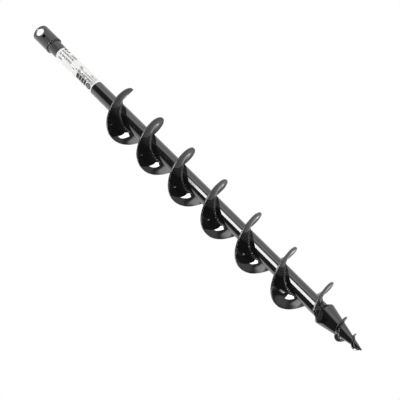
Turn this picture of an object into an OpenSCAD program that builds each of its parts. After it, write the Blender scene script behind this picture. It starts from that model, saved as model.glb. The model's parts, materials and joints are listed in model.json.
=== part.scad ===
// Earth auger bit for a hand-held power head.
// The bit stands tip down. The origin is the centre of the drive socket's mouth, +Z points up and
// out of the socket, and -Y is the front. Helix angles are counted from the front towards +X.
// Everything is welded together, so the whole bit turns with the drive shaft in its socket.

/* [Whole bit] */
// Length from the socket's mouth to the pilot's point
total_len = 800; // [600:10:1000]

/* [Drive end] */
// Outside diameter of the drive collar
collar_d = 29.6; // [28:0.2:34]
// Length of the drive collar
collar_len = 41; // [36:1:60]
// Chamfer on the collar's outer edges
collar_chamfer = 1.2; // [0.4:0.2:1.6]
// Bore of the drive socket in the collar
socket_d = 25.5; // [25:0.1:26.4]
// Depth of the drive socket, down to the end of the tube
socket_depth = 30; // [27:1:34]
// Diameter of the cross hole for the drive pin
pin_hole_d = 14; // [8:0.5:15]
// Depth of the cross hole's axis below the mouth
pin_hole_z = 9.4; // [9:0.2:14]
// Diameter of the small lock dimple below the cross hole
dimple_d = 5.6; // [3:0.2:6]
// Depth of the dimple's axis below the mouth
dimple_z = 22; // [21:0.5:26]
// How far the dimple goes into the collar's wall
dimple_depth = 1.4; // [0.5:0.1:1.4]
// Thickness of the plug that closes the end of the tube
stop_t = 6; // [3:1:12]
// Leg of the fillet weld under the collar
collar_weld_leg = 2.4; // [1.5:0.1:2.6]

/* [Shaft] */
// Outside diameter of the shaft tube
shaft_d = 24.2; // [23.8:0.1:24.2]
// Bore of the shaft tube
tube_bore_d = 19; // [12:0.5:19]

/* [Flighting] */
// Outside diameter of the flighting
flight_d = 80; // [60:2:120]
// Rise of the flighting in one turn
flight_pitch = 80.5; // [60:0.5:100]
// Thickness of the flight plate
flight_t = 3; // [2:0.5:5]
// Height of the flight's middle plane below the mouth at the front of the first turn
flight_front_z = 238.6; // [200:1:260]
// Angle of the flighting's top end, from the front
flight_top_a = 92; // [60:1:120]
// Height of the cutting blade, from the lead turn down to its edge
blade_h = 13.3; // [6:0.1:16]
// How far the blade's edge runs ahead of its top
blade_lead = 7; // [3:0.5:9]
// Thickness of the blade along the turning direction
blade_t = 5; // [3:0.5:7]
// Leg of the weld behind the blade, along the lead turn
blade_weld_leg = 4; // [2:0.5:5]
// Leg of the fillet weld along the flight's root
root_weld_leg = 3.2; // [2:0.2:5]
// Height of a seam weld above the plate on each face
seam_weld_h = 0.6; // [0.2:0.1:1.2]
// Width of a seam weld, as an angle
seam_weld_a = 3; // [2:0.5:5]

/* [Pilot] */
// Diameter of the pilot cone's base
cone_d = 36; // [30:1:44]
// Length of the pilot cone
cone_len = 78.4; // [60:0.4:100]
// Radius of the cone's rounded point
cone_tip_r = 1.3; // [0.8:0.1:2]
// Rounding of the cone's base edge
cone_edge_r = 3; // [1:0.5:4]
// Length of the spigot that holds the cone in the tube
spigot_len = 22; // [12:1:40]
// Leg of the fillet weld between the tube and the cone
cone_weld_leg = 3; // [1.5:0.5:3]
// Rise of the pilot screw in one turn
screw_pitch = 27; // [20:1:30]
// Thickness of the pilot screw's strip
screw_t = 2.6; // [1.5:0.1:4]
// Radius of the pilot screw at its top end
screw_top_r = 20.2; // [16:0.2:22]
// Radius of the pilot screw close to the point
screw_low_r = 6.4; // [5:0.2:9]
// Leg of the fillet weld under the pilot screw
screw_weld_leg = 1.8; // [1:0.2:3]

/* [Label] */
// Depth of the label's top edge below the mouth
label_top_z = 65; // [60:1:80]
// Height of the label
label_h = 101; // [60:1:110]
// Thickness of the label's film
label_t = 0.2; // [0.1:0.05:0.4]
// Angle left bare at the back, where the label's ends meet
label_gap_a = 14; // [4:1:120]

/* [Hidden] */
$fn = 96;
// step between the cross-sections of a helical solid, in degrees
turn_step = 10;
screw_step = 12;
bore_cut = 1;

shaft_r = shaft_d / 2;
socket_r = socket_d / 2;
tube_bore_r = tube_bore_d / 2;
collar_r = collar_d / 2;
flight_r = flight_d / 2;
cone_r = cone_d / 2;
cone_base_z = -(total_len - cone_len);

// The flighting is one short section, full turns, and a lead section that ends over the blade.
// Every seam lies at the back, at 180 degrees.
full_turns = 5;
first_seam_a = -180;
lead_seam_a = first_seam_a - 360 * full_turns;
lead_end_a = lead_seam_a - 194;
// Room for the blade and its weld, as an angle, and the radius at which both start inside the cone.
blade_room_a = 28;
blade_root_r = cone_r - 4.5;
// The underside of the lead turn rises by a little less than this per millimetre at the cone.
blade_rise = 0.78;
seam_count = full_turns + 1;
turn_count = full_turns + 2;

// The pilot screw starts just behind the right-hand side and runs down to the point.
screw_side_z = -750.6 + (800 - total_len);
screw_top_a = 150;
screw_low_a = -530;
screw_ramp_a = 24;
screw_run_out_a = 160;

function seam_a(i) = first_seam_a - 360 * (i - 1);
function turn_top_a(i) = i == 1 ? flight_top_a : seam_a(i - 1) - seam_weld_a / 2;
function turn_low_a(i) = i == turn_count ? lead_end_a : seam_a(i) + seam_weld_a / 2;
function flight_z(a) = -flight_front_z + flight_pitch * a / 360;
function screw_z(a) = screw_side_z + screw_pitch * (a - 90) / 360;
function clamp01(x) = min(1, max(0, x));

// radius of the straight cone at height z
function cone_at(z) = cone_tip_r + (cone_r - cone_tip_r) * (z + total_len) / cone_len;
// radius that the flight stands on: the tube, or the cone below its base
function root_at(z) = z > cone_base_z ? shaft_r : cone_at(z) - 0.4;
// outer radius of the pilot screw, with a ramp at the top and a run-out at the point
function screw_rim(a) =
    let (z = screw_z(a),
         full = screw_low_r + (screw_top_r - screw_low_r) * (a - screw_low_a) / (screw_top_a - screw_low_a),
         root = max(cone_at(z), cone_tip_r),
         up = clamp01((screw_top_a - a) / screw_ramp_a),
         down = clamp01((a - screw_low_a) / screw_run_out_a))
    root + 0.5 + (full - root - 0.5) * sqrt(up * (2 - up)) * sqrt(down * (2 - down));

// sections, as [radius, height] points counter-clockwise seen with the axis on the left
function flight_section(a, r_in, r_out, half) =
    let (z = flight_z(a))
    [[r_in, z - half], [r_out, z - half], [r_out, z + half], [r_in, z + half]];
function root_weld_section(a) =
    let (z = flight_z(a) - flight_t / 2, w = root_weld_leg, r = root_at(z - w))
    [[r, z], [r, z - w], [r + w * 0.62, z - w * 0.62], [r + w, z]];
function screw_section(a) =
    let (z = screw_z(a), h = screw_t / 2, r = screw_rim(a))
    [[cone_at(z - h) - 0.3, z - h], [r, z - h * 0.55], [r, z + h * 0.55], [cone_at(z + h) - 0.3, z + h]];
function screw_weld_section(a) =
    let (z = screw_z(a) - screw_t / 2, w = screw_weld_leg)
    [[cone_at(z) - 0.3, z], [cone_at(z - w) - 0.3, z - w],
     [cone_at(z - w / 2) + w * 0.4, z - w * 0.6], [cone_at(z) + w, z]];

// Solid swept along a helix: section(a) gives its outline at each angle between low_a and top_a.
// Each side panel is two triangles. The two faces of a plate are split along the same diagonal,
// which keeps the plate's thickness.
module helical_solid(low_a, top_a, step, section) {
    n = ceil((top_a - low_a) / step);
    rings = [for (i = [0:n]) let (a = low_a + (top_a - low_a) * i / n)
        [for (p = section(a)) [p[0] * sin(a), -p[0] * cos(a), p[1]]]];
    k = len(rings[0]);
    last = n * k;
    sides = [for (i = [0:n - 1], j = [0:k - 1])
        let (a = i * k + j, b = i * k + (j + 1) % k)
        each j < k / 2 ? [[a, b, b + k], [a, b + k, a + k]] : [[a, b, a + k], [b, b + k, a + k]]];
    low_end = [for (j = [1:k - 2]) [0, j + 1, j]];
    top_end = [for (j = [1:k - 2]) [last, last + j, last + j + 1]];
    polyhedron(points = [for (ring = rings, p = ring) p], faces = concat(sides, low_end, top_end), convexity = 10);
}

// Sleeve that holds the drive shaft in its upper part and the tube in its lower part. The cross
// hole goes through both walls. The conical dimple in the front wall takes a lock screw's point.
module drive_collar() {
    color([0.10, 0.10, 0.11]) difference() {
        rotate_extrude() polygon([
            [socket_r, 0], [collar_r - collar_chamfer, 0], [collar_r, -collar_chamfer],
            [collar_r, -collar_len + collar_chamfer / 2], [collar_r - collar_chamfer / 2, -collar_len],
            [shaft_r, -collar_len], [shaft_r, -socket_depth], [socket_r, -socket_depth]]);
        translate([0, 0, -pin_hole_z]) rotate([90, 0, 0]) cylinder(d = pin_hole_d, h = collar_d * 2, center = true);
        translate([0, 0, -dimple_z]) rotate([90, 0, 0]) translate([0, 0, collar_r - dimple_depth])
            cylinder(d1 = dimple_d - 2 * dimple_depth, d2 = dimple_d + 2 * bore_cut, h = dimple_depth + bore_cut);
    }
}

module shaft_tube() {
    color([0.12, 0.12, 0.13]) difference() {
        translate([0, 0, cone_base_z]) cylinder(r = shaft_r, h = -cone_base_z - socket_depth);
        translate([0, 0, cone_base_z - bore_cut]) cylinder(r = tube_bore_r, h = -cone_base_z + bore_cut);
    }
}

module socket_stop() {
    color([0.45, 0.45, 0.46]) translate([0, 0, -socket_depth - stop_t]) cylinder(r = tube_bore_r, h = stop_t);
}

module collar_weld() {
    w = collar_weld_leg;
    color([0.16, 0.16, 0.17]) rotate_extrude() polygon([
        [shaft_r, -collar_len], [shaft_r, -collar_len - w], [shaft_r + w * 0.6, -collar_len - w * 0.6],
        [shaft_r + w, -collar_len]]);
}

module label_sheet() {
    color([0.95, 0.95, 0.94]) translate([0, 0, -label_top_z - label_h]) rotate([0, 0, 90 + label_gap_a / 2])
        rotate_extrude(angle = 360 - label_gap_a) translate([shaft_r, 0]) square([label_t, label_h]);
}

// One section of the flighting: the first is short, and the last ends over the cutting blade.
module flight_turn(i) {
    color([0.09, 0.09, 0.10]) helical_solid(turn_low_a(i), turn_top_a(i), turn_step,
        function (a) flight_section(a, root_at(flight_z(a) - flight_t / 2), flight_r, flight_t / 2));
}

// Weld that fills the gap between two sections and stands a little above both faces.
module seam_weld(i) {
    color([0.17, 0.17, 0.18]) helical_solid(seam_a(i) - seam_weld_a / 2, seam_a(i) + seam_weld_a / 2, turn_step,
        function (a) flight_section(a, shaft_r, flight_r - 0.5, flight_t / 2 + seam_weld_h));
}

// Fillet weld under one section, between the plate and the tube or cone it stands on. The last one
// starts behind the blade's weld.
module root_weld(i) {
    low_a = turn_low_a(i) + (i == turn_count ? blade_room_a : 2);
    color([0.15, 0.15, 0.16]) helical_solid(low_a, turn_top_a(i) - 2, turn_step,
        function (a) root_weld_section(a));
}

// Straight bar under the lead end, from the cone to the rim. Its section is given as [behind, up]
// points from the end of the lead turn's underside. The cone and the lead turn are cut out of it.
module lead_bar(section, rim) {
    difference() {
        rotate([0, 0, lead_end_a]) translate([0, 0, flight_z(lead_end_a) - flight_t / 2])
            rotate([90, 0, 0]) translate([0, 0, blade_root_r]) linear_extrude(height = rim - blade_root_r)
                polygon(section);
        cone_solid();
        flight_turn(turn_count);
    }
}

// Blade that hangs ahead of the lead turn and is ground to an edge.
module cutting_blade() {
    rim = sqrt(flight_r * flight_r - (blade_lead + 0.5) * (blade_lead + 0.5));
    color([0.10, 0.10, 0.11]) lead_bar([
        [0, 0], [-blade_lead, -blade_h], [-blade_lead * 0.5, -blade_h * 0.8],
        [blade_t, 0], [blade_t, blade_t * blade_rise]], rim);
}

// Weld in the corner behind the blade.
module blade_weld() {
    w = blade_weld_leg;
    color([0.16, 0.16, 0.17]) lead_bar([
        [blade_t, blade_t * blade_rise], [blade_t, 0],
        [blade_t - (blade_lead * 0.5 + blade_t) * 0.45, -blade_h * 0.36],
        [blade_t + w * 0.4, -w * 0.3], [blade_t + w, w * 0.3], [blade_t + w, blade_t * blade_rise + 0.4]],
        flight_r - 3);
}

// The cone without its spigot, with a rounded base edge and a blunt point.
module cone_solid() {
    edge_a = atan((cone_r - cone_tip_r) / cone_len);
    edge_z = cone_base_z - cone_edge_r;
    intersection() {
        rotate_extrude() polygon([
            [0, cone_base_z], [cone_r - cone_edge_r, cone_base_z],
            for (a = [75:-15:edge_a]) [
                cone_r - cone_edge_r * 1.15 + cone_edge_r * cos(a),
                edge_z + cone_edge_r * sin(a)],
            for (a = [0:-22.5:-90]) [
                cone_tip_r * cos(a), -total_len + cone_tip_r * (1 + sin(a))]]);
        translate([0, 0, -total_len]) cylinder(r = cone_r, h = cone_len);
    }
}

module pilot_cone() {
    color([0.13, 0.13, 0.14]) union() {
        cone_solid();
        translate([0, 0, cone_base_z]) cylinder(r = tube_bore_r, h = spigot_len);
    }
}

module cone_weld() {
    w = cone_weld_leg;
    color([0.16, 0.16, 0.17]) rotate_extrude() polygon([
        [shaft_r, cone_base_z], [shaft_r + w, cone_base_z], [shaft_r + w * 0.6, cone_base_z + w * 0.6],
        [shaft_r, cone_base_z + w]]);
}

module pilot_screw() {
    color([0.10, 0.10, 0.11]) helical_solid(screw_low_a, screw_top_a, screw_step,
        function (a) screw_section(a));
}

module pilot_screw_weld() {
    color([0.17, 0.17, 0.18]) helical_solid(screw_low_a + 40, screw_top_a - 6, screw_step,
        function (a) screw_weld_section(a));
}

drive_collar();
shaft_tube();
socket_stop();
collar_weld();
label_sheet();
for (i = [1:turn_count]) flight_turn(i);
for (i = [1:seam_count]) seam_weld(i);
for (i = [1:turn_count]) root_weld(i);
cutting_blade();
blade_weld();
pilot_cone();
cone_weld();
pilot_screw();
pilot_screw_weld();
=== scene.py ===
"""Earth auger bit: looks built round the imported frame.

The bit stands tip down with the drive socket's mouth at the origin. Angles along the helix are
counted from the front, -Y, towards +X, as the design counts them. All lengths are metres.
"""

import json
import logging
import math
from dataclasses import dataclass
from enum import Enum
from typing import Callable, Sequence

import bmesh
import bpy
from mathutils import Matrix, Vector


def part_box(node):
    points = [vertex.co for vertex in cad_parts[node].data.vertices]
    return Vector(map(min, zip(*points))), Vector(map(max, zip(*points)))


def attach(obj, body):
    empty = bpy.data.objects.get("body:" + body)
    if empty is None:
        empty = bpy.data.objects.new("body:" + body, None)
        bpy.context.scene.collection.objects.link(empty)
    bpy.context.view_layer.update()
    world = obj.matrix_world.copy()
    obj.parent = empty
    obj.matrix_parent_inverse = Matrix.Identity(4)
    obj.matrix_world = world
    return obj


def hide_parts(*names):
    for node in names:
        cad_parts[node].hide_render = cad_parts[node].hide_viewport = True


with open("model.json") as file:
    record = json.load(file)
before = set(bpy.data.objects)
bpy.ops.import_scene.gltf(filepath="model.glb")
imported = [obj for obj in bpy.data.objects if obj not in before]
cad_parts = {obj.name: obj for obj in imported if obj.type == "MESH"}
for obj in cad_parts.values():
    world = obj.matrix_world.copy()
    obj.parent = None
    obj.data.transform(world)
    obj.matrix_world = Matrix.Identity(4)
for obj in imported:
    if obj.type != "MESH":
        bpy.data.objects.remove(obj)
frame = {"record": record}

LOG = logging.getLogger("auger")
MM = 0.001
BODY = "root"
SHARP_ANGLE = math.radians(38)
MERGE_GAP = 1e-6
MIX_LOW, MIX_HIGH, MIX_RESULT = 6, 7, 2

Outline = list[tuple[float, float]]


class Slot(Enum):
    """Material slots of the record."""

    SHAFT = "shaft_enamel"
    FLIGHT = "flight_enamel"
    WELD = "painted_weld"
    LABEL = "label_film"
    PLUG = "plug_steel"


class Shading(Enum):
    """How a finished mesh is shaded."""

    FLAT = "flat"
    BY_ANGLE = "by angle"


# ---------------------------------------------------------------------------------------------
# Mesh helpers


def new_piece(
    name: str, mesh: bmesh.types.BMesh, shading: Shading = Shading.BY_ANGLE,
) -> bpy.types.Object:
    """Turns a bmesh into a finished object at the origin.

    Args:
        name: Name of the piece.
        mesh: The bmesh, which is freed here.
        shading: How its faces are shaded.

    Returns:
        The object, linked to the scene.
    """
    data = bpy.data.meshes.new(name)
    mesh.to_mesh(data)
    mesh.free()
    if shading is Shading.BY_ANGLE:
        smooth_by_angle(data)
    piece = bpy.data.objects.new(name, data)
    bpy.context.scene.collection.objects.link(piece)
    return piece


def smooth_by_angle(data: bpy.types.Mesh) -> None:
    """Shades a mesh smooth, but for its sharp edges."""
    data.polygons.foreach_set("use_smooth", [True] * len(data.polygons))
    data.set_sharp_from_angle(angle=SHARP_ANGLE)


def close_and_orient(mesh: bmesh.types.BMesh) -> None:
    """Merges doubles, fills open ends and turns every face outwards."""
    bmesh.ops.remove_doubles(mesh, verts=mesh.verts[:], dist=MERGE_GAP)
    open_edges = [edge for edge in mesh.edges if edge.is_boundary]
    if open_edges:
        bmesh.ops.holes_fill(mesh, edges=open_edges, sides=0)
    bmesh.ops.recalc_face_normals(mesh, faces=mesh.faces[:])


def on_bit(angle: float, radius: float, height: float) -> Vector:
    """Point at an angle in degrees from the front, a distance from the axis and a height."""
    turn = math.radians(angle)
    return Vector((radius * math.sin(turn), -radius * math.cos(turn), height))


def spun(outline: Outline, steps: int, closed: bool = True) -> bmesh.types.BMesh:
    """Spins an outline a full turn about the bit's axis.

    Args:
        outline: (radius, height) points in order. A closed outline joins its last to its first.
        steps: Faces round the axis.
        closed: Whether the outline is a loop, as a tube's wall is.

    Returns:
        A closed solid of revolution.
    """
    mesh = bmesh.new()
    verts = [mesh.verts.new(on_bit(0, radius, height)) for radius, height in outline]
    pairs = list(zip(verts, verts[1:])) + ([(verts[-1], verts[0])] if closed else [])
    for first, second in pairs:
        mesh.edges.new((first, second))
    bmesh.ops.spin(
        mesh, geom=mesh.verts[:] + mesh.edges[:], cent=(0, 0, 0), axis=(0, 0, 1),
        dvec=(0, 0, 0), angle=2 * math.pi, steps=steps, use_merge=True, use_duplicate=False,
    )
    close_and_orient(mesh)
    return mesh


def swept(rings: Sequence[Sequence[Vector]]) -> bmesh.types.BMesh:
    """Bends a grid over a row of closed rings of points.

    Args:
        rings: Rings with the same number of points. Where the last lies on the first, they join.

    Returns:
        A closed solid.
    """
    steps, sides = len(rings) - 1, len(rings[0])
    mesh = bmesh.new()
    bmesh.ops.create_grid(mesh, x_segments=steps, y_segments=sides, size=0.5)
    for vert in mesh.verts:
        vert.co = rings[round((vert.co.x + 0.5) * steps)][round((vert.co.y + 0.5) * sides) % sides]
    close_and_orient(mesh)
    return mesh


def wound(angles: Sequence[float], section: Callable[[float], Outline]) -> bmesh.types.BMesh:
    """Winds a bar round the bit's axis, with a section that may change along the way.

    Args:
        angles: Places of its cross-sections, in degrees from the front.
        section: Gives the closed outline at an angle.

    Returns:
        A closed solid.
    """
    return swept([
        [on_bit(angle, radius, height) for radius, height in section(angle)] for angle in angles
    ])


def arc(cx: float, cz: float, radius: float, start: float, end: float, steps: int) -> Outline:
    """Points along an arc of an outline.

    Args:
        cx: Distance of the arc's centre from the bit's axis.
        cz: Height of the arc's centre.
        radius: The arc's own radius.
        start: First angle in degrees, from outwards towards up.
        end: Last angle in degrees.
        steps: Number of straight pieces.

    Returns:
        steps + 1 points (radius, height).
    """
    angles = [math.radians(start + (end - start) * step / steps) for step in range(steps + 1)]
    return [(cx + radius * math.cos(angle), cz + radius * math.sin(angle)) for angle in angles]


def spread(first: float, last: float, steps: int) -> list[float]:
    """Evenly spaced values from first to last, both included."""
    return [first + (last - first) * step / steps for step in range(steps + 1)]


def drift(place: float, seed: float) -> float:
    """Slow, smooth, uneven wave between about -1 and 1, with a period of about one in place."""
    turn = 2 * math.pi * place
    waves = math.sin(turn + seed)
    waves += 0.6 * math.sin(1.618 * turn + 2.3 * seed)
    waves += 0.4 * math.sin(2.71 * turn + 5 * seed)
    return waves / 2


def torch_wave(phase: float) -> float:
    """Height of a weld's ripples, between -1 and 1, at a phase in radians. It leans to one side."""
    return math.sin(phase + 0.6 * math.sin(phase))


def settle(piece: bpy.types.Object) -> None:
    """Turns a piece's modifiers into finished mesh."""
    graph = bpy.context.evaluated_depsgraph_get()
    finished = bpy.data.meshes.new_from_object(piece.evaluated_get(graph))
    unfinished = piece.data
    piece.modifiers.clear()
    piece.data = finished
    bpy.data.meshes.remove(unfinished)


def cut_away(piece: bpy.types.Object, cutters: Sequence[bpy.types.Object]) -> None:
    """Cuts solids out of a piece and removes them from the scene."""
    for cutter in cutters:
        cut = piece.modifiers.new("cut", "BOOLEAN")
        cut.operation = "DIFFERENCE"
        cut.solver = "EXACT"
        cut.object = cutter
    settle(piece)
    for cutter in cutters:
        bpy.data.meshes.remove(cutter.data)
    smooth_by_angle(piece.data)


def hand_over(piece: bpy.types.Object, node: str, slot: Slot, *materials: bpy.types.Material) -> None:
    """Dresses a finished piece and lets it stand for its node of the frame.

    Args:
        piece: The piece.
        node: Node that it stands for.
        slot: Material slot of the record. It is not used.
        materials: Its materials, the main one first. The rest go by the faces' material numbers.
    """
    last = len(materials) - 1
    numbers = [min(face.material_index, last) for face in piece.data.polygons]
    piece.data.materials.clear()
    for material in materials:
        piece.data.materials.append(material)
    piece.data.polygons.foreach_set("material_index", numbers)
    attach(piece, BODY)
    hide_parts(node)
    LOG.info("%s: %d faces", piece.name, len(piece.data.polygons))


# ---------------------------------------------------------------------------------------------
# Shader helpers


class Value:
    """A shader socket that takes part in Python arithmetic. Each operation adds a Math node."""

    def __init__(self, shader: "Graph", socket: bpy.types.NodeSocket) -> None:
        """Wraps a socket of a node tree."""
        self.shader = shader
        self.socket = socket

    def _math(self, operation: str, *terms: object) -> "Value":
        """Adds a Math node on these terms, in order."""
        inputs = dict(enumerate(terms))
        return self.shader.node("ShaderNodeMath", {"operation": operation}, inputs).out()

    def __add__(self, other: object) -> "Value":
        """self + other."""
        return self._math("ADD", self, other)

    __radd__ = __add__

    def __sub__(self, other: object) -> "Value":
        """self - other."""
        return self._math("SUBTRACT", self, other)

    def __rsub__(self, other: object) -> "Value":
        """other - self."""
        return self._math("SUBTRACT", other, self)

    def __mul__(self, other: object) -> "Value":
        """self * other."""
        return self._math("MULTIPLY", self, other)

    __rmul__ = __mul__

    def __truediv__(self, other: object) -> "Value":
        """self / other."""
        return self._math("DIVIDE", self, other)

    def above(self, limit: object) -> "Value":
        """1 where self is greater than the limit, else 0."""
        return self._math("GREATER_THAN", self, limit)

    def below(self, limit: object) -> "Value":
        """1 where self is less than the limit, else 0."""
        return self._math("LESS_THAN", self, limit)

    def whole(self) -> "Value":
        """self rounded down."""
        return self._math("FLOOR", self)

    def part(self) -> "Value":
        """What is left of self above the whole number below it."""
        return self._math("FRACT", self)

    def size(self) -> "Value":
        """self without its sign."""
        return self._math("ABSOLUTE", self)

    def root(self) -> "Value":
        """Square root of self."""
        return self._math("SQRT", self)

    def degrees(self) -> "Value":
        """self, given in radians, in degrees."""
        return self._math("DEGREES", self)

    def turn(self, across: object) -> "Value":
        """Angle in degrees whose tangent is self over across."""
        return self._math("ARCTAN2", self, across).degrees()

    def between(self, low: object, high: object) -> "Value":
        """1 between two limits, else 0."""
        return self.above(low) * self.below(high)

    def ramp(self, start: object, end: object) -> "Value":
        """0 at start, 1 at end, and smooth between them."""
        settings = {"interpolation_type": "SMOOTHSTEP"}
        inputs = {"Value": self, "From Min": start, "From Max": end}
        return self.shader.node("ShaderNodeMapRange", settings, inputs).out()

    def window(self, low: float, high: float, soft: float) -> "Value":
        """1 between two limits and 0 outside them, with soft edges of the given width."""
        half = soft / 2
        return self.ramp(low - half, low + half) * self.ramp(high + half, high - half)

    def clipped(self, low: float = 0.0, high: float = 1.0) -> "Value":
        """self held between two limits."""
        inputs = {"Value": self, "Min": low, "Max": high}
        return self.shader.node("ShaderNodeClamp", {}, inputs).out()


class Node:
    """A shader node whose outputs are taken by name or number."""

    def __init__(self, shader: "Graph", node: bpy.types.Node) -> None:
        """Wraps a node of a node tree."""
        self.shader = shader
        self.node = node

    def out(self, name: str | int = 0) -> Value:
        """One output as a value."""
        return Value(self.shader, self.node.outputs[name])


class Graph:
    """A node tree that Python expressions fill."""

    def __init__(self, tree: bpy.types.NodeTree) -> None:
        """Empties a tree and takes it over."""
        self.tree = tree
        tree.nodes.clear()

    def node(self, kind: str, settings: dict[str, object], inputs: dict[str | int, object]) -> Node:
        """Adds a node.

        Args:
            kind: Node type.
            settings: Properties set first. "stops" fills a colour ramp as (place, colour) pairs.
            inputs: Socket name or number to a Value or a plain value.

        Returns:
            The node.
        """
        node = self.tree.nodes.new(kind)
        for key, setting in settings.items():
            if key == "stops":
                self._fill_ramp(node, setting)
            else:
                setattr(node, key, setting)
        for key, given in inputs.items():
            self.feed(node.inputs[key], given)
        return Node(self, node)

    def feed(self, socket: bpy.types.NodeSocket, given: object) -> None:
        """Links a value to an input, or sets the input to a plain value."""
        if isinstance(given, Value):
            self.tree.links.new(given.socket, socket)
        else:
            socket.default_value = given

    @staticmethod
    def _fill_ramp(node: bpy.types.Node, stops: Sequence[tuple[float, tuple[float, ...]]]) -> None:
        """Replaces a colour ramp's stops."""
        ramp = node.color_ramp
        while len(ramp.elements) > 1:
            ramp.elements.remove(ramp.elements[-1])
        for number, (place, colour) in enumerate(stops):
            element = ramp.elements[0] if number == 0 else ramp.elements.new(place)
            element.position = place
            element.color = colour

    def stepped(self, share: Value, stops: Sequence[tuple[float, float]]) -> Value:
        """Value that follows stops.

        Args:
            share: Place between 0 and 1.
            stops: (place, value) pairs with values up to 1.

        Returns:
            The value at that place.
        """
        colours = [(place, grey(value)) for place, value in stops]
        return self.node("ShaderNodeValToRGB", {"stops": colours}, {"Fac": share}).out()

    def place(self, scale: tuple[float, float, float] = (1.0, 1.0, 1.0)) -> Value:
        """Object coordinates, stretched by a scale."""
        coords = self.node("ShaderNodeTexCoord", {}, {}).out("Object")
        return self.node("ShaderNodeMapping", {}, {"Vector": coords, "Scale": scale}).out()

    def noise(self, where: Value, size: float, detail: float = 2.0) -> Value:
        """Noise between about 0 and 1.

        Args:
            where: Coordinates.
            size: Size of its cells in metres.
            detail: Number of octaves.

        Returns:
            The noise.
        """
        inputs = {"Vector": where, "Scale": 1 / size, "Detail": detail}
        return self.node("ShaderNodeTexNoise", {}, inputs).out("Fac")

    def mix(self, share: object, low: object, high: object) -> Value:
        """Colour between low and high.

        Args:
            share: 0 for low and 1 for high.
            low: Colour or link.
            high: Colour or link.

        Returns:
            The mixed colour.
        """
        inputs = {"Factor": share, MIX_LOW: low, MIX_HIGH: high}
        return self.node("ShaderNodeMix", {"data_type": "RGBA"}, inputs).out(MIX_RESULT)

    def bump(self, height: Value, distance: float, base: Value | None = None) -> Value:
        """Normal tilted by a height field.

        Args:
            height: Height between 0 and 1.
            distance: What a height of 1 stands for, in metres.
            base: Normal that the bump starts from.

        Returns:
            The normal.
        """
        inputs: dict[str | int, object] = {"Height": height, "Distance": distance, "Strength": 1.0}
        if base is not None:
            inputs["Normal"] = base
        return self.node("ShaderNodeBump", {}, inputs).out("Normal")


class Shader(Graph):
    """A material built on one Principled surface."""

    def __init__(self, name: str) -> None:
        """Makes an empty node material."""
        self.material = bpy.data.materials.new(name)
        self.material.use_nodes = True
        super().__init__(self.material.node_tree)
        output = self.node("ShaderNodeOutputMaterial", {}, {})
        self.surface = self.node("ShaderNodeBsdfPrincipled", {}, {})
        self.tree.links.new(self.surface.node.outputs["BSDF"], output.node.inputs["Surface"])

    def set(self, **inputs: object) -> None:
        """Sets or links the surface's inputs. Underscores in names stand for spaces."""
        for key, given in inputs.items():
            self.feed(self.surface.node.inputs[key.replace("_", " ")], given)


def grey(level: float) -> tuple[float, float, float, float]:
    """An opaque grey."""
    return (level, level, level, 1.0)


def opaque(colour: Sequence[float], share: float = 1.0) -> tuple[float, ...]:
    """A colour, brightened or darkened by a share, with full cover."""
    return (*(channel * share for channel in colour), 1.0)


@dataclass(frozen=True)
class Enamel:
    """Glossy stoved enamel on steel.

    A size is measured along the surface, between one rise and the next, and a depth across it.
    """

    name: str
    colour: tuple[float, float, float] = (0.0055, 0.0055, 0.0060)
    roughness: float = 0.025
    peel_size: float = 3.5 * MM
    peel_depth: float = 0.006 * MM
    sag_size: float = 26.0 * MM
    sag_depth: float = 0.05 * MM
    cloud_size: float = 9.0 * MM
    cloud_colour: float = 1.7
    cloud_roughness: float = 0.03
    lump_size: float = 2.2 * MM
    lump_depth: float = 0.0
    sheared_from: float = 0.0
    sheared_band: float = 0.3 * MM
    sheared_roughness: float = 0.22

    def material(self) -> bpy.types.Material:
        """Builds the enamel: orange peel, slow sags, and cloudy patches in the gloss.

        Lumps are added where a depth is given, and a rough rim where it is sheared from a radius.
        """
        shader = Shader(self.name)
        where = shader.place()
        cloud = shader.noise(where, self.cloud_size, 3.0)
        normal = shader.bump(shader.noise(where, self.sag_size, 1.0), self.sag_depth)
        normal = shader.bump(shader.noise(where, self.peel_size), self.peel_depth, normal)
        if self.lump_depth:
            normal = shader.bump(shader.noise(where, self.lump_size), self.lump_depth, normal)
        roughness = self.roughness + cloud * self.cloud_roughness
        if self.sheared_from:
            spot = shader.node("ShaderNodeSeparateXYZ", {}, {"Vector": where})
            reach = (spot.out("X") * spot.out("X") + spot.out("Y") * spot.out("Y")).root()
            sheared = reach.ramp(self.sheared_from, self.sheared_from + self.sheared_band)
            roughness = roughness + sheared * (self.sheared_roughness + cloud * 0.2)
        clouded = opaque(self.colour, self.cloud_colour)
        shader.set(
            Base_Color=shader.mix(cloud.clipped(), opaque(self.colour), clouded),
            Roughness=roughness,
            Normal=normal,
            IOR=1.5,
        )
        return shader.material


@dataclass(frozen=True)
class BareSteel:
    """Turned steel without paint."""

    name: str
    colour: tuple[float, float, float] = (0.42, 0.42, 0.43)
    roughness: float = 0.28
    oil_size: float = 5.0 * MM
    oil_colour: float = 0.55
    oil_roughness: float = 0.2
    mark_size: float = 2.0 * MM
    marks_in_one: float = 30.0
    mark_depth: float = 0.01 * MM

    def material(self) -> bpy.types.Material:
        """Builds the steel: fine turning marks and a dull, oily film."""
        shader = Shader(self.name)
        oil = shader.noise(shader.place(), self.oil_size, 3.0)
        marks = shader.noise(shader.place((1.0, 1.0, self.marks_in_one)), self.mark_size)
        shader.set(
            Base_Color=shader.mix(oil, opaque(self.colour), opaque(self.colour, self.oil_colour)),
            Metallic=1.0,
            Roughness=self.roughness + oil * self.oil_roughness,
            Normal=shader.bump(marks, self.mark_depth),
        )
        return shader.material


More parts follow.
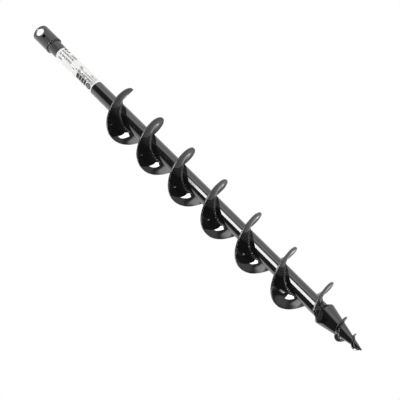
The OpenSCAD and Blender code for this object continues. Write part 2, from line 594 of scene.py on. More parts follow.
@dataclass(frozen=True)
class Mark:
    """A generic printed mark: a block, a ring, or broken lines that stand for small print.

    Angles are degrees from the front and heights are millimetres below the drive socket's mouth.
    """

    left: float
    right: float
    top: float
    end: float
    ink: float
    lines: int = 0
    round_sign: bool = False


@dataclass(frozen=True)
class LabelFilm:
    """White film with generic printing, whose lines run along the tube."""

    name: str
    top: float
    height: float
    white: tuple[float, float, float] = (0.95, 0.95, 0.94)
    ink: tuple[float, float, float] = (0.010, 0.010, 0.011)
    word: float = 1.25
    words_printed: float = 0.84
    line_height: float = 0.7
    sign_ring: tuple[float, float] = (0.4, 0.5)
    grain_size: float = 0.35 * MM
    stock_size: float = 14.0 * MM
    stock_colour: float = 0.94
    wrinkle_size: float = 9.0 * MM
    wrinkle_depth: float = 0.04 * MM
    marks: tuple[Mark, ...] = (
        Mark(-60, -16, 124.2, 131.0, 1.0),
        Mark(-60, -16, 131.8, 137.6, 1.0),
        Mark(-60, -16, 138.4, 144.2, 1.0),
        Mark(-60, -16, 145.0, 150.4, 1.0),
        Mark(-60, -16, 151.2, 164.2, 1.0, round_sign=True),
        Mark(-43, -29, 71, 81, 0.9, round_sign=True),
        Mark(-11, 5, 68, 103, 1.0, lines=3),
        Mark(19, 33, 69, 102, 1.0, lines=3),
        Mark(43, 68, 67, 72, 1.0),
        Mark(43, 60, 73.5, 76.5, 1.0),
        Mark(43, 68, 78, 80.5, 1.0),
        Mark(43, 70, 88, 101, 0.9, lines=3),
        Mark(-23, -17, 109, 115, 0.9),
        Mark(-8, -2, 116, 120, 0.9),
        Mark(-13, 10, 122, 164, 0.9, lines=5),
        Mark(19, 27, 122, 164, 0.9, lines=2),
        Mark(27, 43, 118, 126, 0.7, round_sign=True),
        Mark(34, 58, 146, 161, 0.6, lines=3),
        Mark(100, 128, 72, 104, 0.8, lines=5),
        Mark(100, 132, 112, 120, 0.95),
        Mark(-128, -92, 74, 88, 1.0),
        Mark(-128, -88, 96, 160, 0.8, lines=7),
        Mark(96, 140, 128, 160, 0.7, lines=8),
    )

    def printed(self, shader: Shader, mark: Mark, turn: Value, depth: Value) -> Value:
        """Ink of one mark at a place.

        Args:
            shader: Material that the mark is added to.
            mark: The mark.
            turn: Angle of the place, in degrees.
            depth: Its depth below the mouth, in millimetres.

        Returns:
            0 for bare film, up to the mark's ink.
        """
        half_across, half_down = (mark.right - mark.left) / 2, (mark.end - mark.top) / 2
        across = (turn - (mark.left + mark.right) / 2).size() / half_across
        down = (depth - (mark.top + mark.end) / 2).size() / half_down
        if mark.round_sign:
            reach = (across * across + down * down).root()
            return (reach.below(1.0) - reach.between(*self.sign_ring)) * mark.ink
        block = across.below(1.0) * down.below(1.0)
        if not mark.lines:
            return block * mark.ink
        line = (turn - mark.left) * (mark.lines / (mark.right - mark.left))
        place = {"X": (depth / self.word).whole(), "Y": line.whole(), "Z": mark.left}
        cell = shader.node("ShaderNodeCombineXYZ", {}, place).out()
        chance = shader.node("ShaderNodeTexWhiteNoise", {}, {"Vector": cell}).out("Value")
        worded = chance.below(self.words_printed)
        return block * line.part().below(self.line_height) * worded * mark.ink

    def material(self) -> bpy.types.Material:
        """Builds the film: white stock, ink in generic bars and signs, and fine wrinkles."""
        shader = Shader(self.name)
        around = shader.node("ShaderNodeUVMap", {"uv_map": "label"}, {}).out()
        parts = shader.node("ShaderNodeSeparateXYZ", {}, {"Vector": around})
        turn = parts.out("X") * 360 - 180
        depth = self.top / MM + (1 - parts.out("Y")) * (self.height / MM)
        ink = self.printed(shader, self.marks[0], turn, depth)
        for mark in self.marks[1:]:
            ink = ink + self.printed(shader, mark, turn, depth)
        where = shader.place()
        grain = shader.noise(where, self.grain_size)
        stock = shader.noise(where, self.stock_size)
        paper = shader.mix(stock, opaque(self.white), opaque(self.white, self.stock_colour))
        cover = (ink * (0.86 + grain * 0.24)).clipped()
        shader.set(
            Base_Color=shader.mix(cover, paper, opaque(self.ink)),
            Roughness=0.5 + stock * 0.1,
            Specular_IOR_Level=0.25,
            Normal=shader.bump(shader.noise(where, self.wrinkle_size), self.wrinkle_depth),
        )
        return shader.material


# ---------------------------------------------------------------------------------------------
# Sizes from the frame


def low(node: str) -> Vector:
    """Lowest corner of a node's box."""
    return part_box(node)[0]


def high(node: str) -> Vector:
    """Highest corner of a node's box."""
    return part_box(node)[1]


def bore(name: str) -> tuple[float, float]:
    """Radius of a bore mount and the height of its place, in metres."""
    found = next(mount for mount in frame["record"]["mounts"] if mount["name"] == name)
    return found["dims"]["r_mm"] * MM, found["pos_m"][2]


@dataclass(frozen=True)
class Helix:
    """Winding path: its height at the front, at angle 0, and its rise in one turn."""

    front_z: float
    rise: float

    def height(self, angle: float) -> float:
        """Height at an angle in degrees."""
        return self.front_z + self.rise * angle / 360

    def length(self, angle: float, radius: float) -> float:
        """Length of the path from the front to an angle, at a radius."""
        return math.hypot(2 * math.pi * radius, self.rise) * angle / 360


@dataclass(frozen=True)
class Cone:
    """Straight flank of the pilot cone, from its base edge down to its point."""

    base_r: float
    base_z: float
    tip_r: float
    tip_z: float

    def radius(self, height: float) -> float:
        """Radius at a height."""
        up = height - self.tip_z
        return self.tip_r + (self.base_r - self.tip_r) * up / (self.base_z - self.tip_z)


# ---------------------------------------------------------------------------------------------
# Welds


@dataclass(frozen=True)
class Fillet:
    """A fillet weld's face: how far it bulges, and the ripples that the torch left."""

    ripple: float = 2.3 * MM
    depth: float = 0.17 * MM
    fullness: float = 0.5
    bow: float = 0.5
    wander: float = 0.07
    swell_length: float = 17.0 * MM
    uneven_length: float = 11.0 * MM
    seed: float = 0.0
    face_steps: int = 10
    buried: float = 0.25 * MM

    def outline(self, corner: Vector, first: Vector, last: Vector, travelled: float) -> Outline:
        """Cross-section of the bead at one place.

        Args:
            corner: Where the two parts meet, as (radius, height).
            first: Step from the corner to the bead's toe on one part.
            last: Step from the corner to its toe on the other part.
            travelled: Distance that the torch has gone.

        Returns:
            A closed outline, buried a little in both parts.
        """
        swell = 1 + self.wander * drift(travelled / self.swell_length, self.seed)
        uneven = 0.8 + 0.3 * drift(travelled / self.uneven_length, self.seed + 4)
        outward = (first + last).normalized()
        face = []
        for share in spread(0, 1, self.face_steps):
            turn = share * math.pi / 2
            full = 2 - self.fullness
            across = first * math.cos(turn) ** full + last * math.sin(turn) ** full
            phase = 2 * math.pi * (travelled / self.ripple + self.bow * (2 * share - 1) ** 2)
            wave = torch_wave(phase) * math.sin(math.pi * (0.08 + 0.84 * share))
            face.append(corner + across * swell + outward * wave * self.depth * uneven)
        into_first, into_last = last.normalized() * -self.buried, first.normalized() * -self.buried
        hidden = [face[-1] + into_last, corner + into_first + into_last, face[0] + into_first]
        return [(point.x, point.y) for point in face + hidden]


# ---------------------------------------------------------------------------------------------
# Sub-assemblies


@dataclass
class DriveEnd:
    """Collar on top of the tube, with its cross hole and dimple, and the plug in the tube's end."""

    shaft_r: float
    tube_top: float
    socket_r: float
    collar_r: float
    collar_end: float
    pin_hole: tuple[float, float]
    dimple: tuple[float, float] = (3.2 * MM, -22 * MM)
    dimple_depth: float = 1.4 * MM
    top_edge: float = 1.2 * MM
    low_edge: float = 0.6 * MM
    rim: float = 0.35 * MM
    mouth: float = 0.3 * MM
    row: float = 0.9 * MM
    steps: int = 192
    hole_steps: int = 96

    @classmethod
    def from_frame(cls) -> "DriveEnd":
        """Takes the sizes from the frame."""
        return cls(
            shaft_r=high("shaft_tube").x, tube_top=high("shaft_tube").z,
            socket_r=bore("drive_socket")[0], pin_hole=bore("drive_pin_hole"),
            collar_r=high("drive_collar").x, collar_end=low("drive_collar").z,
        )

    def ring(
        self, hole_z: float, size: float, out: float, side: int, flat: bool = False,
    ) -> list[Vector]:
        """Ring of a cutter about a hole's axis, in a plane or bent round the collar.

        Args:
            hole_z: Height of the hole's axis.
            size: Radius of the ring.
            out: Distance of its plane, or of the round face, from the bit's axis.
            side: -1 at the front and 1 at the back.
            flat: Whether it lies in a plane.

        Returns:
            Its points.
        """
        points = []
        for turn in spread(0, 2 * math.pi, self.hole_steps)[:-1]:
            x, z = size * math.cos(turn), size * math.sin(turn)
            away = out if flat else math.sqrt(out ** 2 - x ** 2)
            points.append(Vector((x, side * away, hole_z + z)))
        return points

    def pin_drill(self) -> bpy.types.Object:
        """Cutter of the cross hole, which breaks the hole's edges along the curved face."""
        radius, hole_z = self.pin_hole
        clear = self.collar_r + 2 * MM
        edge = arc(radius + self.rim, self.collar_r - self.rim, self.rim, 115, 180, 4)
        flare = (edge[0][0] + self.rim * 4, edge[0][1] + self.rim * 1.9)
        rings = [self.ring(hole_z, flare[0], clear, -1, flat=True)]
        rings += [self.ring(hole_z, size, out, -1) for size, out in [flare] + edge]
        rings += [self.ring(hole_z, size, out, 1) for size, out in reversed([flare] + edge)]
        rings.append(self.ring(hole_z, flare[0], clear, 1, flat=True))
        return new_piece("pin_drill", swept(rings))

    def dimple_drill(self) -> bpy.types.Object:
        """Cutter of the lock screw's dimple: a cone with a rounded edge and a blunt end."""
        radius, hole_z = self.dimple
        cone = (
            (radius + 1.2 * MM, self.collar_r + 1 * MM),
            (radius + 0.35 * MM, self.collar_r + 0.05 * MM),
            (radius - 0.15 * MM, self.collar_r - 0.25 * MM),
            (radius * 0.5, self.collar_r - self.dimple_depth),
            (radius * 0.2, self.collar_r - self.dimple_depth * 1.04),
        )
        rings = [self.ring(hole_z, size, out, -1, flat=True) for size, out in cone]
        return new_piece("dimple_drill", swept(rings))

    def collar(self) -> bpy.types.Object:
        """Turned sleeve with rounded edges. The wall of its cross hole is left without paint."""
        end_z = self.collar_end + self.low_edge
        rows = [(self.collar_r, z) for z in self.rows(-self.top_edge, end_z)]
        top = arc(self.collar_r - self.top_edge, -self.top_edge, self.top_edge, 90, 0, 6)
        end = arc(self.collar_r - self.low_edge, end_z, self.low_edge, 0, -90, 4)
        seat = [(self.shaft_r, self.collar_end), (self.shaft_r, self.tube_top)]
        socket = [(self.socket_r, z) for z in self.rows(self.tube_top, -self.mouth)]
        inner = seat + socket + [(self.socket_r + self.mouth, 0)]
        piece = new_piece("collar_turned", spun(top + rows[1:-1] + end + inner, self.steps))
        cut_away(piece, [self.pin_drill(), self.dimple_drill()])
        for face in piece.data.polygons:
            face.material_index = self.finish_at(face.center)
        return piece

    def finish_at(self, spot: Vector) -> int:
        """Material number at a spot: 1 on the cross hole's wall, 2 in the dimple and round its lip,
        where near-black steel paints shade, else 0.
        """
        radius, height = self.pin_hole
        if math.hypot(spot.x, spot.z - height) < radius + self.rim * 0.3:
            return 1
        radius, height = self.dimple
        in_wall = self.socket_r + 0.2 * MM < math.hypot(*spot.xy) < self.collar_r - 0.05 * MM
        near = math.hypot(spot.x, spot.z - height) < radius + 0.5 * MM
        # the dimple and a band round its lip take near-black steel as painted shade
        return 2 if spot.y < 0 and in_wall and near else 0

    def rows(self, first: float, last: float) -> list[float]:
        """Heights of the edge loops between two heights."""
        return spread(first, last, round(abs(last - first) / self.row))

    def weld(self) -> bpy.types.Object:
        """Bead under the collar."""
        leg = self.collar_end - low("collar_weld").z
        bead = Fillet(seed=1.3)
        corner = Vector((self.shaft_r, self.collar_end))
        across = self.collar_r - self.low_edge - self.shaft_r

        def section(angle: float) -> Outline:
            """Outline of the bead at an angle."""
            travelled = 2 * math.pi * self.shaft_r * angle / 360
            return bead.outline(corner, Vector((0, -leg)), Vector((min(leg, across), 0)), travelled)

        return new_piece("collar_bead", wound(spread(0, 360, 420), section))

    def plug(self) -> bpy.types.Object:
        """Turned plug that the drive shaft stops against."""
        lowest, highest = low("socket_stop"), high("socket_stop")
        radius, edge, dimple = highest.x, 0.5 * MM, 1.6 * MM
        outline = [(0, highest.z - dimple), (dimple, highest.z)]
        outline += arc(radius - edge, highest.z - edge, edge, 90, 0, 4)
        outline += arc(radius - edge, lowest.z + edge, edge, 0, -90, 4) + [(0, lowest.z)]
        return new_piece("plug_turned", spun(outline, 96, closed=False))


@dataclass
class Shaft:
    """Tube that carries the flighting, and the label wrapped round it."""

    shaft_r: float
    tube_top: float
    tube_end: float
    bore_r: float
    label_top: float
    label_end: float
    film: float
    gap: float = 14.0
    corner: float = 3.0 * MM
    steps: int = 192

    @classmethod
    def from_frame(cls) -> "Shaft":
        """Takes the sizes from the frame."""
        shaft_r = high("shaft_tube").x
        return cls(
            shaft_r=shaft_r, tube_top=high("shaft_tube").z, tube_end=low("shaft_tube").z,
            bore_r=high("socket_stop").x,
            label_top=high("label_sheet").z, label_end=low("label_sheet").z,
            film=high("label_sheet").x - shaft_r,
        )

    def tube(self) -> bpy.types.Object:
        """Drawn tube with broken end edges."""
        outside = [(self.shaft_r, z) for z in spread(self.tube_top, self.tube_end, 90)]
        inside = [(self.bore_r, self.tube_end), (self.bore_r, self.tube_top)]
        return new_piece("tube_drawn", spun(outside + inside, self.steps))

    def label(self) -> bpy.types.Object:
        """Printed film with rounded corners. Its UV map runs round the tube and up it."""
        half = 180 - self.gap / 2
        per_degree = self.shaft_r * math.pi / 180
        corner_angle = self.corner / per_degree
        rounding = [1 - math.sin(math.radians(turn)) for turn in range(0, 91, 10)]
        near_end = [half - corner_angle * part for part in rounding]
        middle = spread(-half + 16, half - 16, 120)
        angles = sorted({-angle for angle in near_end} | set(near_end) | set(middle))

        def section(angle: float) -> Outline:
            """Outline of the film at an angle, shorter close to its rounded corners."""
            from_end = min((half - abs(angle)) * per_degree, self.corner)
            inset = self.corner - math.sqrt(self.corner ** 2 - (self.corner - from_end) ** 2)
            inner, outer = self.shaft_r + self.film * 0.1, self.shaft_r + self.film
            top, end = self.label_top - inset, self.label_end + inset
            return [(inner, top)] + [(outer, z) for z in spread(top, end, 8)] + [(inner, end)]

        mesh = wound(angles, section)
        layer = mesh.loops.layers.uv.new("label")
        for face in mesh.faces:
            for loop in face.loops:
                spot = loop.vert.co
                turn = math.degrees(math.atan2(spot.x, -spot.y))
                height = (spot.z - self.label_end) / (self.label_top - self.label_end)
                loop[layer].uv = ((turn + 180) / 360, height)
        return new_piece("label_printed", mesh)


@dataclass
class Flighting:
    """Seven sections of helical plate, welded to the tube and to each other."""

    helix: Helix
    shaft_r: float
    rim_r: float
    plate: float
    top_angle: float
    lead_angle: float
    cone: Cone
    blade_depth: float
    gap: float = 3.0
    first_seam: float = -180.0
    blade_room: float = 28.0
    blade_ahead: float = 7.0 * MM
    blade_back: float = 5.0 * MM
    edge: float = 0.4 * MM
    sag: float = 0.22 * MM
    bend: float = 2.3 * MM
    weld_leg: float = 3.2 * MM
    seam_width: float = 6.5 * MM
    seam_crown: float = 0.6 * MM
    root_depth: float = 0.4 * MM
    rim_wobble: float = 0.15 * MM
    end_round: float = 0.3 * MM
    near_end: tuple[float, ...] = (0, 0.06, 0.16, 0.32, 0.6)
    count: int = 7

    @classmethod
    def from_frame(cls, cone: Cone) -> "Flighting":
        """Takes the sizes from the frame.

        Args:
            cone: Flank of the pilot cone, on which the last section ends.

        Returns:
            The flighting.
        """
        rise = high("flight_turn_2").z - high("flight_turn_3").z
        plate, top_angle, lead_angle = 3.0 * MM, 92.0, -2174.0
        helix = Helix(high("flight_turn_1").z - plate / 2 - rise * top_angle / 360, rise)
        return cls(
            helix=helix, shaft_r=high("shaft_tube").x, rim_r=high("flight_turn_2").x, plate=plate,
            top_angle=top_angle, lead_angle=lead_angle, cone=cone,
            blade_depth=helix.height(lead_angle) - plate / 2 - low("cutting_blade").z,
        )

    def seam(self, number: int) -> float:
        """Angle of the seam below a section."""
        return self.first_seam - 360 * (number - 1)

    def ends(self, number: int) -> tuple[float, float]:
        """Lowest and highest angle of a section."""
        top = self.top_angle if number == 1 else self.seam(number - 1) - self.gap / 2
        end = self.lead_angle if number == self.count else self.seam(number) + self.gap / 2
        return end, top

    def root(self, height: float) -> float:
        """Radius that the plate stands on at a height."""
        return self.shaft_r if height > self.cone.base_z else self.cone.radius(height)

    def level(self, angle: float) -> float:
        """Height of the plate's middle. The lead section is bent up a little behind its end."""
        last_seam = self.seam(self.count - 1)
        share = (angle - self.lead_angle) / (last_seam - self.lead_angle)
        bent = math.sin(math.pi * share ** 0.63) ** 2 if 0 < share < 1 else 0.0
        return self.helix.height(angle) + self.bend * bent

    def plate_outline(self, angle: float, free_end: float) -> Outline:
        """Cross-section of a plate.

        Args:
            angle: Place along the helix.
            free_end: How far the section is drawn in, to round a plate's cut end.

        Returns:
            A closed outline with rounded rim corners.
        """
        half = self.plate / 2 - free_end
        root = self.root(self.level(angle) - half) - self.root_depth
        rim = self.rim_r - free_end - self.rim_wobble * (1 + drift(angle / 55, 2.0))
        edge = min(self.edge, half * 0.8)
        under = [(radius, -half) for radius in spread(root, rim - edge * 1.4, 14)]
        corners = arc(rim - edge, -half + edge, edge, -90, 0, 4)
        corners += arc(rim - edge, half - edge, edge, 0, 90, 4)
        over = [(radius, half) for radius, _ in reversed(under)]
        height = self.level(angle)
        sag = self.sag * drift(angle / 83, 0.7)
        return [
            (radius, height + rise + sag * ((radius - root) / (rim - root)) ** 2)
            for radius, rise in under + corners + over
        ]

    def flight(self, number: int) -> bpy.types.Object:
        """One section of plate."""
        end, top = self.ends(number)
        angles = [end + step for step in self.near_end]
        angles += spread(end + 1.6, top - 1.6, round((top - end) / 2))
        angles += [top - step for step in reversed(self.near_end)]

        def section(angle: float) -> Outline:
            """Outline at an angle, drawn in where the plate ends."""
            gone = min(angle - end, top - angle) / self.near_end[-1]
            inset = self.end_round * (1 - math.sqrt(1 - (1 - min(gone, 1)) ** 2))
            return self.plate_outline(angle, inset)

        return new_piece(f"flight_plate_{number}", wound(angles, section))

    def root_bead(self, number: int) -> bpy.types.Object:
        """Bead under one section, along its root. It is heavier where it nears the blade."""
        end, top = self.ends(number)
        first = end + (self.blade_room - 6 if number == self.count else 1)
        bead = Fillet(seed=number * 1.7)
        heavy = Fillet(ripple=4.4 * MM, depth=0.5 * MM, wander=0.12, seed=2.2)

        def section(angle: float) -> Outline:
            """Outline of the bead at an angle."""
            under = self.level(angle) - self.plate / 2
            root = self.root(under)
            lead = max(0.0, 1 - (angle - self.lead_angle) / 80)
            leg = self.weld_leg * (1 + 0.9 * min(1, lead * 2))
            toe = Vector((self.root(under - leg) - root, -leg))
            travelled = self.helix.length(angle, self.shaft_r)
            kind = heavy if lead > 0 else bead
            return kind.outline(Vector((root, under)), toe, Vector((leg, 0)), travelled)

        angles = spread(first, top - 1, round((top - end) * 1.2))
        return new_piece(f"root_bead_{number}", wound(angles, section))

    def under_lead(self, behind: float, radius: float) -> float:
        """Rise of the lead turn's underside at a straight distance behind its end."""
        return self.helix.rise * math.atan2(behind, radius) / (2 * math.pi)

    def bar(
        self, name: str, radii: Sequence[float], section: Callable[[float], Outline],
    ) -> bpy.types.Object:
        """Bar that lies straight across the lead end.

        Args:
            name: Name of the piece.
            radii: Distances of its cross-sections from the axis.
            section: Gives the outline at a distance, as (behind, up) from the underside's end.

        Returns:
            The piece.
        """
        turn = Matrix.Rotation(math.radians(self.lead_angle), 4, "Z")
        end_z = self.helix.height(self.lead_angle) - self.plate / 2
        rings = [
            [turn @ Vector((behind, -radius, end_z + up)) for behind, up in section(radius)]
            for radius in radii
        ]
        return new_piece(name, swept(rings))

    def blade(self) -> bpy.types.Object:
        """Blade that hangs ahead of the lead turn, ground to an edge along its back."""
        ahead, back, depth = self.blade_ahead, self.blade_back, self.blade_depth
        rim = math.sqrt(self.rim_r ** 2 - (ahead + 0.5 * MM) ** 2)
        buried, nose, chamfer, wear = 0.5 * MM, 0.25 * MM, 0.6 * MM, 0.12 * MM
        lowest = self.cone.radius(self.helix.height(self.lead_angle) - self.plate / 2 - depth)
        heel, heel_z = ahead * 0.5, -depth * 0.8

        def section(radius: float) -> Outline:
            """Front face, ground edge, rear face and top, drawn in at the rim."""
            drawn_in = max(0.0, radius - rim + chamfer) * 0.6
            edge_z = -depth + drawn_in + nose + wear * drift(radius / (13 * MM), 3.0)
            front = [(-ahead * s + drawn_in, edge_z * s) for s in spread(0, 1, 8)]
            ground = [(-ahead + nose * 2 + drawn_in, edge_z - nose * 0.4), (-heel, heel_z + drawn_in)]
            rear = [
                (-heel + (back + heel) * s - drawn_in * s, heel_z * (1 - s) + drawn_in * (1 - s))
                for s in spread(0.12, 1, 8)
            ]
            top = [(back * s, self.under_lead(back * s, radius) + buried) for s in spread(1, 0.1, 5)]
            return front + ground + rear + top

        radii = spread(lowest - 1.2 * MM, rim - chamfer, 30) + spread(rim - chamfer, rim, 4)[1:]
        return self.bar("blade_ground", radii, section)

    def blade_bead(self) -> bpy.types.Object:
        """Uneven bead in the corner behind the blade."""
        back, depth = self.blade_back, self.blade_depth
        bead = Fillet(ripple=3.6 * MM, depth=0.5 * MM, fullness=0.7, wander=0.16, seed=6.1)
        down_rear = Vector((-(back + self.blade_ahead * 0.5), -depth * 0.8))
        along, reach = down_rear.normalized() * 4.6 * MM, 4.4 * MM
        inner = self.cone.radius(self.cone.base_z - 4 * MM) - 1 * MM
        outer = self.rim_r - 2.5 * MM

        def section(radius: float) -> Outline:
            """Outline of the bead at a distance from the axis, smaller close to the rim."""
            spare = min(1.0, (outer - radius) / (2.5 * MM) + 0.12) ** 0.5
            corner = Vector((back, self.under_lead(back, radius)))
            toe = Vector((reach, self.under_lead(back + reach, radius) - corner.y))
            return bead.outline(corner, along * spare, toe * spare, radius)

        return self.bar("blade_bead", spread(inner, outer, 90), section)

    def seam_bead(self, number: int) -> bpy.types.Object:
        """Butt weld between two sections, proud of both faces."""
        seam = self.seam(number)
        rim = self.rim_r - 0.5 * MM
        distances = spread(self.shaft_r - 0.3 * MM, rim, 64)

        def ring(share: float) -> list[Vector]:
            """Cross-section from the tube to the rim, at a share of the half width."""
            across = self.seam_width / 2 * share
            crown = math.sqrt(1 - share ** 2)
            points = []
            for side in (-1, 1):
                way = distances if side < 0 else list(reversed(distances))
                for radius in way:
                    phase = 2 * math.pi * (radius / (2.4 * MM) + 0.45 * share ** 2 * side)
                    ripple = 0.13 * MM * torch_wave(phase)
                    end_round = min(1.0, (rim - radius) / (0.8 * MM) + 0.25) ** 0.5
                    proud = (self.seam_crown + ripple) * crown * end_round - 0.08 * MM
                    swell = 1 + 0.08 * drift(radius / (9 * MM), number)
                    angle = seam + math.degrees(across * swell / radius)
                    height = self.helix.height(angle) + side * (self.plate / 2 + proud)
                    points.append(on_bit(angle, radius, height))
            return points

        return new_piece(f"seam_bead_{number}", swept([ring(share) for share in spread(-1, 1, 14)]))


@dataclass
class Pilot:
    """Pilot cone with its screw strip and the welds that hold them."""

    shaft_r: float
    cone: Cone
    spigot_r: float
    spigot_top: float
    base_edge: float = 3.0 * MM
    helix: Helix = Helix(-757.35 * MM, 27 * MM)
    strip: float = 2.6 * MM
    top_angle: float = 150.0
    low_angle: float = -530.0
    top_r: float = 20.2 * MM
    low_r: float = 6.4 * MM
    ramp: float = 24.0
    run_out: float = 160.0
    weld_leg: float = 1.8 * MM

    @classmethod
    def from_frame(cls) -> "Pilot":
        """Takes the sizes from the frame."""
        lowest, highest = low("pilot_cone"), high("pilot_cone")
        base_z = low("cone_weld").z
        return cls(
            shaft_r=high("shaft_tube").x, spigot_r=high("socket_stop").x, spigot_top=highest.z,
            cone=Cone(base_r=highest.x, base_z=base_z, tip_r=1.3 * MM, tip_z=lowest.z),
        )

    def cone_body(self) -> bpy.types.Object:
        """Turned cone with its spigot, its rounded base edge and its blunt point."""
        cone, edge = self.cone, self.base_edge
        lean = math.degrees(math.atan((cone.base_r - cone.tip_r) / (cone.base_z - cone.tip_z)))
        outline = [(0, self.spigot_top), (self.spigot_r, self.spigot_top), (self.spigot_r, cone.base_z)]
        shoulder = arc(cone.base_r - edge, cone.base_z - edge, edge, 90, -lean, 12)
        point = arc(0, cone.tip_z + cone.tip_r, cone.tip_r, -lean, -90, 8)
        (from_r, from_z), (to_r, to_z) = shoulder[-1], point[0]
        flank = [
            (from_r + (to_r - from_r) * s, from_z + (to_z - from_z) * s)
            for s in (0.01, *spread(0.05, 0.95, 18), 0.99)
        ]
        outline += shoulder + flank + point
        return new_piece("cone_turned", spun(outline, 160, closed=False))

    def cone_bead(self) -> bpy.types.Object:
        """Bead between the tube and the cone's base."""
        leg = high("cone_weld").z - self.cone.base_z
        bead = Fillet(seed=5.1, depth=0.22 * MM)
        corner = Vector((self.shaft_r, self.cone.base_z))

        def section(angle: float) -> Outline:
            """Outline of the bead at an angle."""
            travelled = 2 * math.pi * self.shaft_r * angle / 360
            return bead.outline(corner, Vector((0, leg)), Vector((leg, 0)), travelled)

        return new_piece("cone_bead", wound(spread(0, 360, 420), section))

    def rim(self, angle: float) -> float:
        """Outer radius of the strip, with a ramp at its top and a run-out at the point."""
        height = self.helix.height(angle)
        share = (angle - self.low_angle) / (self.top_angle - self.low_angle)
        full = self.low_r + (self.top_r - self.low_r) * share
        root = max(self.cone.radius(height), self.cone.tip_r) + 0.5 * MM
        up = min(1.0, max(0.0, (self.top_angle - angle) / self.ramp))
        down = min(1.0, max(0.0, (angle - self.low_angle) / self.run_out))
        return root + (full - root) * math.sqrt(up * (2 - up)) * math.sqrt(down * (2 - down))

    def screw(self) -> bpy.types.Object:
        """Strip of the pilot screw, thinner at its rim."""
        half = self.strip / 2

        def section(angle: float) -> Outline:
            """Outline of the strip at an angle."""
            height, rim = self.helix.height(angle), self.rim(angle)
            root_under = self.cone.radius(height - half) - 0.3 * MM
            root_over = self.cone.radius(height + half) - 0.3 * MM
            edge, taper = half * 0.5, half * 0.45
            nose_r = rim - edge
            under = [
                (root_under + (nose_r - root_under) * s, -half + taper * s) for s in spread(0, 1, 6)
            ]
            over = [(root_over + (nose_r - root_over) * s, half - taper * s) for s in spread(1, 0, 6)]
            nose = arc(nose_r, 0, edge, -70, 70, 6)
            return [(radius, height + rise) for radius, rise in under + nose + over]

        return new_piece("screw_strip", wound(spread(self.low_angle, self.top_angle, 324), section))

    def screw_bead(self) -> bpy.types.Object:
        """Bead under the strip, along the cone."""
        bead = Fillet(seed=8.4, depth=0.25 * MM, ripple=2.6 * MM, wander=0.14)

        def section(angle: float) -> Outline:
            """Outline of the bead at an angle."""
            under = self.helix.height(angle) - self.strip / 2
            root = self.cone.radius(under)
            toe = Vector((self.cone.radius(under - self.weld_leg) - root, -self.weld_leg))
            travelled = self.helix.length(angle, 9 * MM)
            return bead.outline(Vector((root, under)), toe, Vector((self.weld_leg, 0)), travelled)

        angles = spread(self.low_angle + 40, self.top_angle - 6, 560)
        return new_piece("screw_bead", wound(angles, section))


# ---------------------------------------------------------------------------------------------
# Studio


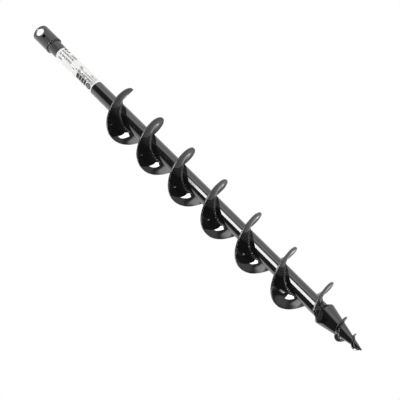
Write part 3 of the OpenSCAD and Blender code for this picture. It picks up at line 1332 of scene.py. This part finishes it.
@dataclass(frozen=True)
class Studio:
    """Camera below the bit's middle, a pale floor, and a white surround."""

    distance: float = 1.604
    eye_height: float = -1.3615
    aim: tuple[float, float] = (-0.0103, -0.4513)
    roll: float = -45.1
    lens: float = 109.4
    floor_z: float = -3.0
    floor_size: float = 24.0

    def camera(self) -> None:
        """Long lens that looks up at the bit, turned so that the bit lies across the frame."""
        eye = Vector((0, -self.distance, self.eye_height))
        aim = Vector((self.aim[0], 0, self.aim[1]))
        data = bpy.data.cameras.new("camera")
        data.lens = self.lens
        camera = bpy.data.objects.new("camera", data)
        bpy.context.scene.collection.objects.link(camera)
        turn = (aim - eye).to_track_quat("-Z", "Y").to_matrix().to_4x4()
        roll = Matrix.Rotation(math.radians(self.roll), 4, "Z")
        camera.matrix_world = Matrix.Translation(eye) @ turn @ roll
        bpy.context.scene.camera = camera

    def floor(self) -> None:
        """Plain pale floor."""
        mesh = bmesh.new()
        bmesh.ops.create_grid(mesh, x_segments=1, y_segments=1, size=self.floor_size / 2)
        bmesh.ops.translate(mesh, vec=(0, 0, self.floor_z), verts=mesh.verts[:])
        floor = new_piece("floor", mesh, Shading.FLAT)
        floor.visible_glossy = False

    def surround(self) -> None:
        """White backdrop and plain soft light, with a studio of soft panels for the gloss."""
        world = bpy.data.worlds.new("surround")
        world.use_nodes = True
        sky = Graph(world.node_tree)
        path = sky.node("ShaderNodeLightPath", {}, {})
        plain = (path.out("Is Camera Ray") + path.out("Is Diffuse Ray")).clipped()
        light = self.panels(sky)
        strength = light + (1 - light) * plain
        backdrop = sky.node("ShaderNodeBackground", {}, {"Color": grey(1.0), "Strength": strength})
        output = sky.node("ShaderNodeOutputWorld", {}, {})
        sky.tree.links.new(backdrop.node.outputs[0], output.node.inputs["Surface"])
        world.cycles.sampling_method = "NONE"
        bpy.context.scene.world = world
        bpy.context.scene.view_settings.view_transform = "Standard"

    def panels(self, sky: Graph) -> Value:
        """Brightness of the studio by direction, in shares of the backdrop's white.

        Args:
            sky: Node tree of the world.

        Returns:
            The brightness.
        """
        seen = sky.node("ShaderNodeTexCoord", {}, {}).out("Generated")
        way = sky.node("ShaderNodeSeparateXYZ", {}, {"Vector": seen})
        x, y, z = way.out("X"), way.out("Y"), way.out("Z")
        flat = (x * x + y * y).root()
        side, rise = x.turn(y * -1), z.turn(flat)
        tilt = rise + 90
        right, away = x / flat * tilt, y / flat * tilt
        brightest = 4.0
        share = side / 360 + 0.5

        def walls(*stops: tuple[float, float]) -> Value:
            """Brightness round the room, from (degrees, brightness) stops."""
            scaled = [(turn / 360 + 0.5, value / brightest) for turn, value in stops]
            return sky.stepped(share, scaled) * brightest

        # two rows of wall panels, and a dark door in the lower row
        upper = walls(
            (-180, 1.0), (-130, 1.8), (-50, 1.9), (-34, 1.4), (7, 1.2), (13, 0.9),
            (19, 0.9), (25, 2.1), (60, 1.8), (130, 1.1), (180, 1.0),
        )
        middle = walls(
            (-180, 0.35), (-156, 0.45), (-140, 1.2), (-118, 2.2), (-60, 2.3), (22, 1.3), (31, 1.5),
            (37, 3.0), (55, 2.9), (64, 2.1), (100, 1.6), (140, 1.2), (160, 0.5), (180, 0.35),
        )
        door_left = -50 - (36 - rise).clipped(0, 14) * 3.5
        door = side.ramp(door_left - 3, door_left + 3) * side.ramp(25, 21)
        middle = middle + (0.12 - middle) * door
        wall = middle + (upper - middle) * rise.ramp(36.6, 38.6)
        window = side.window(-22, 14, 1.5) * rise.window(16, 30.5, 1.5) * 21
        # dark floor with three soft patches
        ground = 0.3 - (right.window(10, 60, 6) * away.window(-5, 75, 10)) * 0.18
        ground = ground + right.window(-45, -20, 8) * away.window(25, 48, 8) * 3.2
        ground = ground + right.window(-14, 10, 8) * away.window(9, 30, 8) * 0.6
        room = ground + (wall - ground) * rise.ramp(-40, -25)
        room = room * (1 - side.window(118, 152, 14) * rise.ramp(12, 0) * 0.97)
        # faint patches high and low behind the bit, and a small strong box below it
        patch = side.size().ramp(152, 164) * rise.window(15, 20, 4) * 0.9
        patch = patch + away.window(40, 62, 6) * right.window(-20, 20, 8)
        box = right.window(-30, -4, 3) * away.window(-9, 11, 2) * 32
        return room + window + patch + box


def main() -> None:
    """Builds the bit round the frame and sets the studio."""
    logging.basicConfig(level=logging.INFO, format="%(message)s")
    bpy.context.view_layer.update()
    studio = Studio()
    studio.camera()
    shaft_enamel = Enamel("shaft_enamel").material()
    pilot_enamel = Enamel("pilot_enamel").material()
    sheared_from = high("flight_turn_2").x - 0.7 * MM
    flight_enamel = Enamel("flight_enamel", sheared_from=sheared_from).material()
    weld_enamel = Enamel("weld_enamel", lump_depth=0.9 * MM).material()
    blade_weld = Enamel("blade_weld_enamel", lump_size=2.6 * MM, lump_depth=3.4 * MM)
    blade_weld_enamel = blade_weld.material()
    plug_steel = BareSteel("plug_steel").material()
    drilled_steel = BareSteel("drilled_steel", (0.92, 0.92, 0.92), 0.08).material()
    # near-black rough steel that paints shade into the lock screw's dimple and round its lip
    painted_shade_steel = BareSteel("painted_shade_steel", (0.006, 0.006, 0.006), 0.7).material()

    drive_end = DriveEnd.from_frame()
    hand_over(drive_end.collar(), "drive_collar", Slot.SHAFT, shaft_enamel, drilled_steel, painted_shade_steel)
    hand_over(drive_end.weld(), "collar_weld", Slot.WELD, weld_enamel)
    hand_over(drive_end.plug(), "socket_stop", Slot.PLUG, plug_steel)

    shaft = Shaft.from_frame()
    film = LabelFilm("label_film", -shaft.label_top, shaft.label_top - shaft.label_end).material()
    hand_over(shaft.tube(), "shaft_tube", Slot.SHAFT, shaft_enamel)
    hand_over(shaft.label(), "label_sheet", Slot.LABEL, film)

    pilot = Pilot.from_frame()
    hand_over(pilot.cone_body(), "pilot_cone", Slot.SHAFT, shaft_enamel)
    hand_over(pilot.cone_bead(), "cone_weld", Slot.WELD, weld_enamel)
    hand_over(pilot.screw(), "pilot_screw", Slot.FLIGHT, pilot_enamel)
    hand_over(pilot.screw_bead(), "pilot_screw_weld", Slot.WELD, weld_enamel)

    flighting = Flighting.from_frame(pilot.cone)
    for number in range(1, flighting.count + 1):
        hand_over(flighting.flight(number), f"flight_turn_{number}", Slot.FLIGHT, flight_enamel)
        bead_enamel = blade_weld_enamel if number == flighting.count else weld_enamel
        hand_over(flighting.root_bead(number), f"root_weld_{number}", Slot.WELD, bead_enamel)
    for number in range(1, flighting.count):
        hand_over(flighting.seam_bead(number), f"seam_weld_{number}", Slot.WELD, weld_enamel)
    hand_over(flighting.blade(), "cutting_blade", Slot.FLIGHT, flight_enamel)
    hand_over(flighting.blade_bead(), "blade_weld", Slot.WELD, blade_weld_enamel)

    studio.floor()
    studio.surround()


if __name__ == "__main__":
    main()
